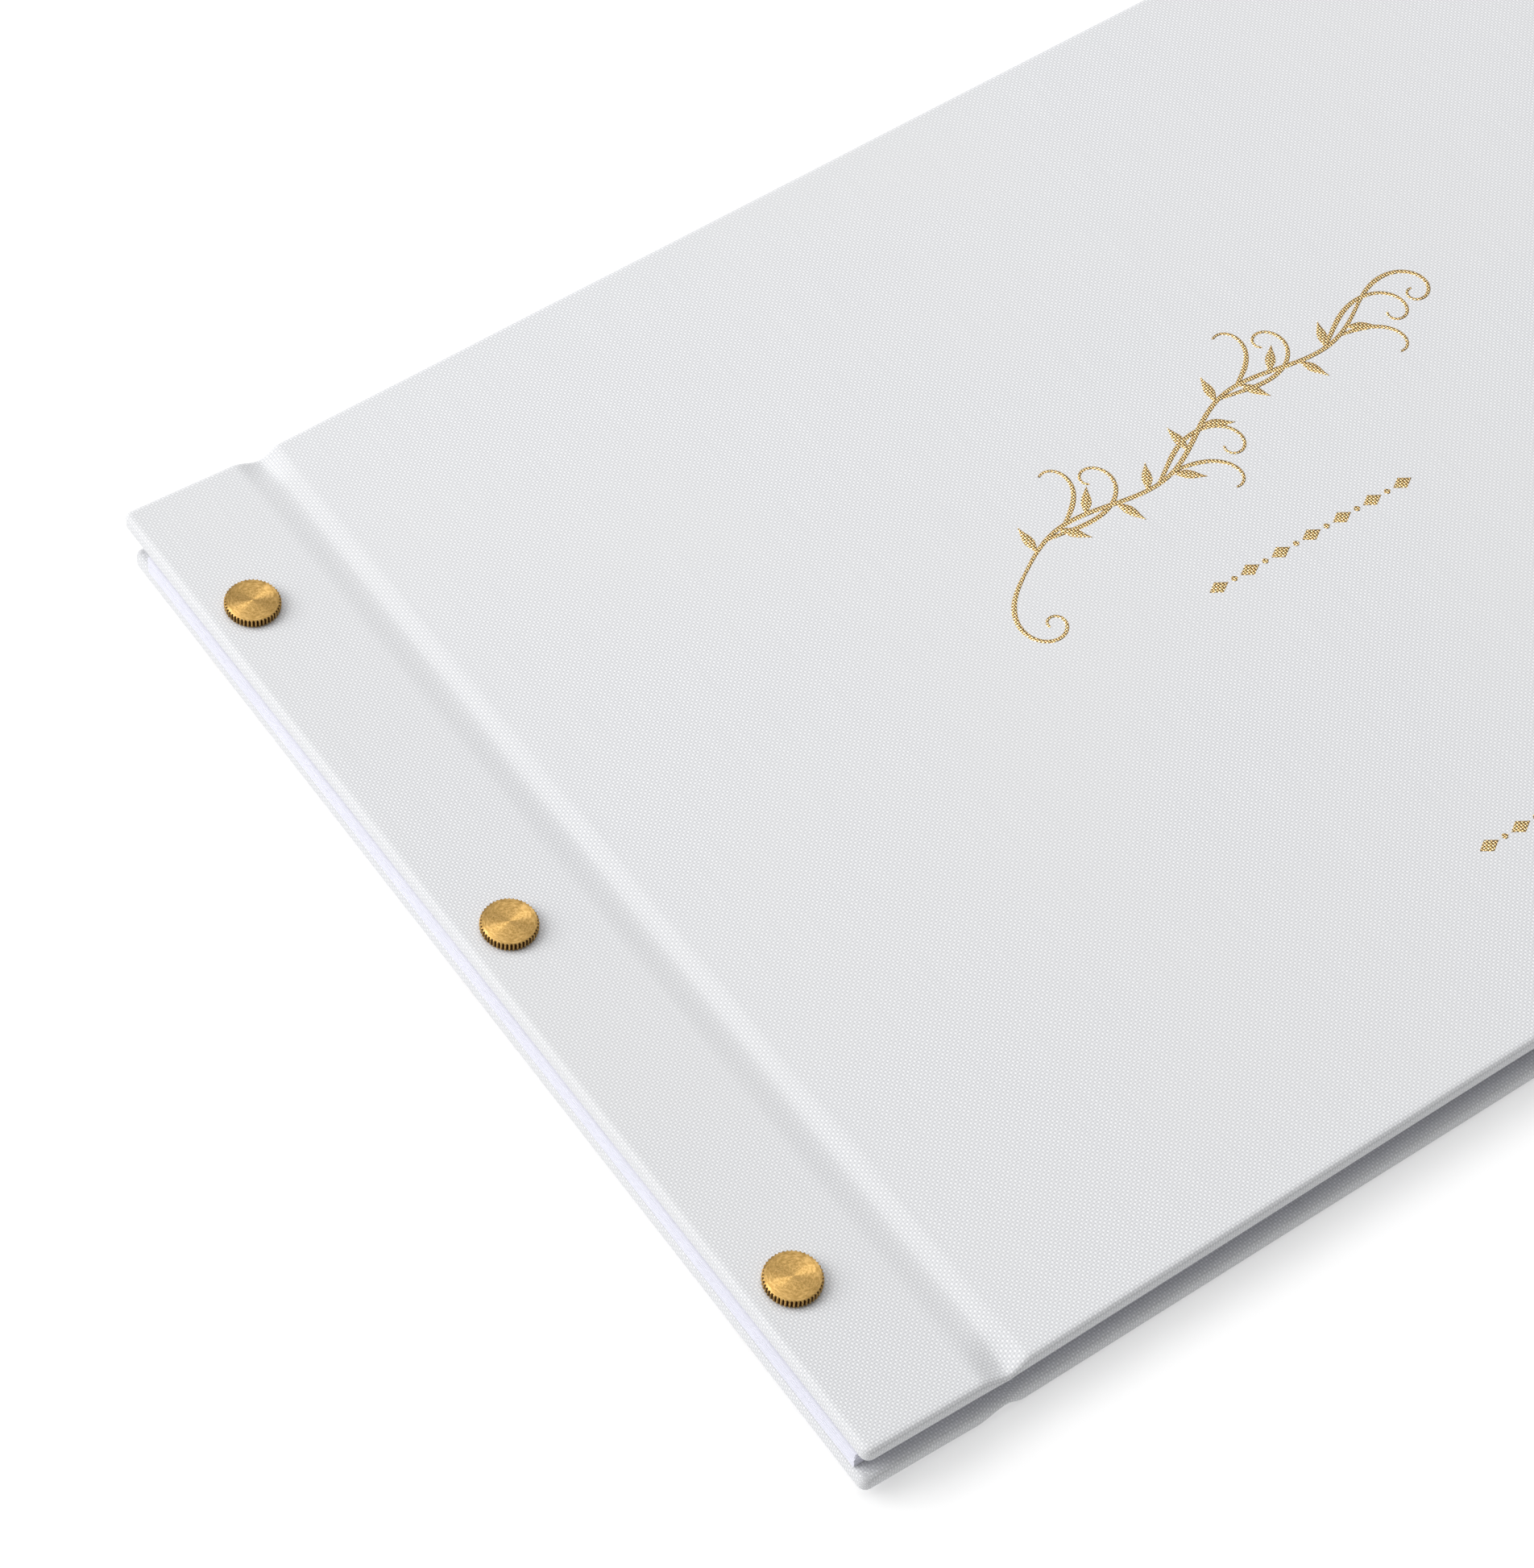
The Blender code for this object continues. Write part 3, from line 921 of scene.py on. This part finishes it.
for number in range(1, len(SCREWS) + 1):
    tip, top = heights_on_axis(f"binding_screw_{number}", number)
    under = top - HEAD_THICKNESS
    ring_depth = RING_DEPTHS[number - 1] * MM
    profile = head_rings(top - 1.6 * ring_depth, ring_depth) + [
        (HEAD_RADIUS - KNURL_DEPTH - 0.08 * MM, top - 1.6 * ring_depth, 0),
        (HEAD_RADIUS - KNURL_DEPTH, top - 0.04 * MM - 1.6 * ring_depth, 0),
        (HEAD_RADIUS, top - RIM_CHAMFER, 1),
        (HEAD_RADIUS, under + RIM_CHAMFER, 1),
        (HEAD_RADIUS - KNURL_DEPTH, under, 0),
        (SHANK_RADIUS, under, 0),
        (SHANK_RADIUS, tip + RIM_CHAMFER, 0),
        (SHANK_RADIUS - RIM_CHAMFER, tip, 0),
        (0.0, tip, 0),
    ]
    screw = turn_piece(f"knurled_screw_{number}", profile, BRASS, on_screw(number))
    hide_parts(f"binding_screw_{number}")
    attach(screw, f"screw_{number}")
print("screws:", len(SCREWS), "with", TEETH, "teeth")

# %% The three posts
POST_RADIUS = 2.5 * MM
BORE_RADIUS = 2.0 * MM
POST_HEAD = 0.8 * MM
BORE_FLOOR = 1.5 * MM

for number in range(1, len(SCREWS) + 1):
    low, high = heights_on_axis(f"binding_post_{number}", number)
    seat = low + POST_HEAD
    profile = [
        (0.0, BORE_FLOOR, 0),
        (BORE_RADIUS, BORE_FLOOR, 0),
        (BORE_RADIUS, high, 0),
        (POST_RADIUS, high, 0),
        (POST_RADIUS, seat, 0),
        (HEAD_RADIUS - 0.15 * MM, seat, 0),
        (HEAD_RADIUS, seat - 0.15 * MM, 0),
        (HEAD_RADIUS, low + 0.3 * MM, 0),
        (HEAD_RADIUS - 0.3 * MM, low + 0.04 * MM, 0),
        (HEAD_RADIUS - 0.7 * MM, low, 0),
        (0.4 * MM, low, 0),
        (0.0, low + 0.05 * MM, 0),
    ]
    post = turn_piece(f"rear_post_{number}", profile, BRASS, on_screw(number))
    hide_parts(f"binding_post_{number}")
    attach(post, "binding")
print("posts:", len(SCREWS))

# %% [markdown]
# ## The gold ornament
# A heated brass die presses gold foil into the cloth. The mark is a trailing vine
# with curls and leaves, and two small rows of lozenges lie under it. Each stroke
# is a line whose bend changes evenly along it, which is how a pen moves, so a start,
# a heading and a few bends describe it. The stroke becomes a thin ribbon with
# sloping sides, because the edge of stamped foil catches light and shade.

# %% Pen strokes
FOIL_RISE = 0.10 * MM
FOIL_CLEARANCE = 0.01 * MM
STROKE_STEP = 0.4 * MM
RIBBON = ((-1.0, 0.0), (-0.6, 0.9), (0.0, 1.0), (0.6, 0.9), (1.0, 0.0))


def along_list(values, share):
    """The value at a share of the way through a list, evenly between its entries."""
    spot = share * (len(values) - 1)
    first = min(int(spot), len(values) - 2)
    return values[first] + (values[first + 1] - values[first]) * (spot - first)


def pen_line(start, heading, length, bends, widths):
    """Points of a stroke, in millimetres: (place, direction, half width)."""
    steps = math.ceil(length * MM / STROKE_STEP)
    spot = Vector(start)
    angle = math.radians(heading)
    points = []
    for step in range(steps + 1):
        share = step / steps
        way = Vector((math.cos(angle), math.sin(angle)))
        points.append((spot.copy(), way, along_list(widths, share)))
        spot += way * (length / steps)
        angle += along_list(bends, share) * length / steps
    return points


def stamp(name, strokes, centre):
    """Foil ribbons on the front cover; centre is (across, along from the middle)."""
    cover = COVERS["front"]
    shape = bmesh.new()
    lie = {}
    places = [spot for points in strokes for spot, way, width in points]
    low = Vector([min(spot[i] for spot in places) for i in range(2)])
    high = Vector([max(spot[i] for spot in places) for i in range(2)])
    middle = Vector(centre) - (low + high) / 2 * MM
    for points in strokes:
        before = None
        for spot, way, width in points:
            side = Vector((-way.y, way.x))
            row = []
            for offset, rise in RIBBON:
                across, along = middle + (spot + side * width * offset) * MM
                base = cover.thickness + ripple(across, along, 0) + FOIL_CLEARANCE
                depth = base + rise * FOIL_RISE
                vert = shape.verts.new(cover.place(across, along, depth))
                lie[vert] = (across, along)
                row.append(vert)
            if before:
                for n in range(len(row) - 1):
                    shape.faces.new((before[n], before[n + 1], row[n + 1], row[n]))
            before = row
    bmesh.ops.recalc_face_normals(shape, faces=shape.faces)
    for face in shape.faces:
        if face.normal.z < 0:
            face.normal_flip()
    piece = make_piece(name, shape, FOIL, lie)
    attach(piece, "front_cover")
    print(name, "is", [round(side, 1) for side in high - low], "mm")
    return piece


# %% The vine and the lozenges
STEM_WIDTHS = [0.30, 0.46, 0.50, 0.44, 0.50, 0.44, 0.50, 0.46, 0.34]
CURL_WIDTHS = [0.34, 0.50, 0.42, 0.34, 0.24]
LEAF_WIDTHS = [0.06, 0.62, 1.0, 0.86, 0.42, 0.05]
WAVE = 0.066
STEM_LENGTH = 92
LEAF_STEPS = 15


def vine():
    """A trailing stem with curls at its ends and crests, and leaves between them."""
    bends = [0, -WAVE, 0, WAVE, 0, -WAVE, 0, WAVE, 0]
    stem = pen_line((-41, -6), 32, STEM_LENGTH, bends, STEM_WIDTHS)
    strokes = [stem]

    def branch(share, turn, length, curl, widths):
        place, way, _ = stem[round(share * (len(stem) - 1))]
        heading = math.degrees(math.atan2(way.y, way.x)) + turn
        strokes.append(pen_line(place, heading, length, curl, widths))

    for share, side in ((0.10, -1), (0.36, 1), (0.61, -1), (0.86, 1)):
        curl = [-side * bend for bend in (-0.04, 0.05, 0.13, 0.26, 0.75)]
        branch(share, side * 24, 31, curl, CURL_WIDTHS)
        curl = [side * bend for bend in (0.0, -0.10, -0.22, -0.60)]
        branch(share + 0.05, -side * 30, 17, curl, CURL_WIDTHS)
    branch(0.0, 180, 29, [0.02, 0.10, 0.2, 0.34, 0.9], CURL_WIDTHS)
    branch(1.0, 0, 27, [-0.03, -0.10, -0.2, -0.34, -0.9], CURL_WIDTHS)
    for n in range(1, LEAF_STEPS):
        side = 1 if n % 2 else -1
        lean = [side * bend for bend in (0.08, -0.06)]
        branch(n / LEAF_STEPS, side * 52, 6.2, lean, LEAF_WIDTHS)
    return strokes


def lozenges(count, pitch):
    """A row of small lozenges with a dot between each two."""
    row = []
    for n in range(count):
        middle = (n - (count - 1) / 2) * pitch
        row.append(pen_line((middle - 2.0, 0), 0, 4.0, [0, 0], [0.05, 1.35, 0.05]))
        if n:
            dot = middle - pitch / 2 - 0.6
            row.append(pen_line((dot, 0), 0, 1.2, [0, 0], [0.1, 0.6, 0.6, 0.1]))
    return row


ORNAMENT_ACROSS = 168 * MM
head = COVERS["front"].length / 2
STAMPS = (
    ("foil_vine", vine(), 93.5),
    ("foil_lozenges_upper", lozenges(7, 6.8), 119.5),
    ("foil_lozenges_lower", lozenges(6, 6.8), 187.5),
)
for name, strokes, from_head in STAMPS:
    foil = stamp(name, strokes, (ORNAMENT_ACROSS, head - from_head * MM))
    print(foil.name, len(foil.data.polygons), "faces")

# %% [markdown]
# ## Table, light and camera
# The book lies on a plain white table. One large soft light stands at the left and a
# little towards the head, so the spine is bright, the tail is in shade and a narrow
# shadow falls beside it. A second, wider panel hangs overhead, towards the head: it
# evens out the cover and gives the brass something to reflect. The table glows a
# little: a painted light that keeps it white and lightens the shadow beside the tail,
# with less light thrown up onto the edges of the book than a whiter table would give.
# The camera is a long lens, close and high over the spine.

# %% Table and light
TABLE = 6.0
TABLE_GLOW = 0.41
ROOM_GLOW = 0.19


def make_table():
    shape = bmesh.new()
    bmesh.ops.create_grid(shape, x_segments=8, y_segments=8, size=TABLE / 2)
    table = Finish("white_table")
    spot = table.node("ShaderNodeTexCoord", {}, {}, "Object")
    inputs = {"Vector": spot, "Scale": 40.0, "Detail": 3.0}
    grain = table.node("ShaderNodeTexNoise", {}, inputs)
    surface = table.mix(grain, shade(0.61, 0.61, 0.61), shade(0.64, 0.64, 0.64))
    table.paint(Base_Color=surface, Roughness=0.9)
    # Painted light: the glow keeps the table white and lightens the shadow beside the tail.
    table.paint(Emission_Color=shade(1.0, 1.0, 1.0), Emission_Strength=TABLE_GLOW)
    piece = make_piece("table", shape, table.material)
    piece.location.z = packed_low.z


def make_light(name, azimuth, elevation, distance, side, power):
    """A square soft light that looks at the book from a compass direction."""
    data = bpy.data.lights.new(name, "AREA")
    data.size = side
    data.energy = power
    light = bpy.data.objects.new(name, data)
    turn, rise = math.radians(azimuth), math.radians(elevation)
    level = math.cos(rise)
    back = Vector((math.cos(turn) * level, math.sin(turn) * level, math.sin(rise)))
    light.location = back * distance
    light.rotation_euler = back.to_track_quat("Z", "Y").to_euler()
    bpy.context.scene.collection.objects.link(light)


make_table()
make_light("window_light", 147, 37, 2.6, 1.8, 49.0)
make_light("ceiling_panel", 75, 74, 2.2, 2.4, 33.0)
world = bpy.data.worlds.new("studio")
world.use_nodes = True
background = world.node_tree.nodes["Background"]
background.inputs["Color"].default_value = shade(1.0, 1.0, 1.0)
background.inputs["Strength"].default_value = ROOM_GLOW
bpy.context.scene.world = world
bpy.context.scene.view_settings.view_transform = "Standard"
print("lights:", [light.name for light in bpy.data.lights])

# %% Camera
CAMERA_AZIMUTH = -36.09
CAMERA_ELEVATION = 54.42
CAMERA_ROLL = 1.35
CAMERA_DISTANCE = 781.6 * MM
CAMERA_LENS = 107.43
AIM_FROM_SCREW = Vector((52.87, 1.05, 0.0)) * MM
AIM_HEIGHT = 10.0 * MM
aim = Vector(JOINTS["screw_2_turn"]["pos_m"]) + AIM_FROM_SCREW
aim.z = packed_low.z + AIM_HEIGHT
turn, rise = math.radians(CAMERA_AZIMUTH), math.radians(CAMERA_ELEVATION)
level = math.cos(rise)
back = Vector((math.sin(turn) * level, -math.cos(turn) * level, math.sin(rise)))
right = Vector((math.cos(turn), math.sin(turn), 0.0))
upright = Matrix((right, back.cross(right), back)).transposed()
lens = bpy.data.cameras.new("camera")
lens.lens = CAMERA_LENS
camera = bpy.data.objects.new("camera", lens)
tilt = upright @ Matrix.Rotation(math.radians(CAMERA_ROLL), 3, "Z")
camera.matrix_world = Matrix.Translation(aim + back * CAMERA_DISTANCE) @ tilt.to_4x4()
bpy.context.scene.collection.objects.link(camera)
bpy.context.scene.camera = camera
print("camera at", [round(c, 3) for c in camera.location])

# %% [markdown]
# ## Clearing away the drills
# The rods that cut the post holes are no part of the book, so they are removed.

# %% Remove the drills
bpy.data.objects.remove(DRILLS)
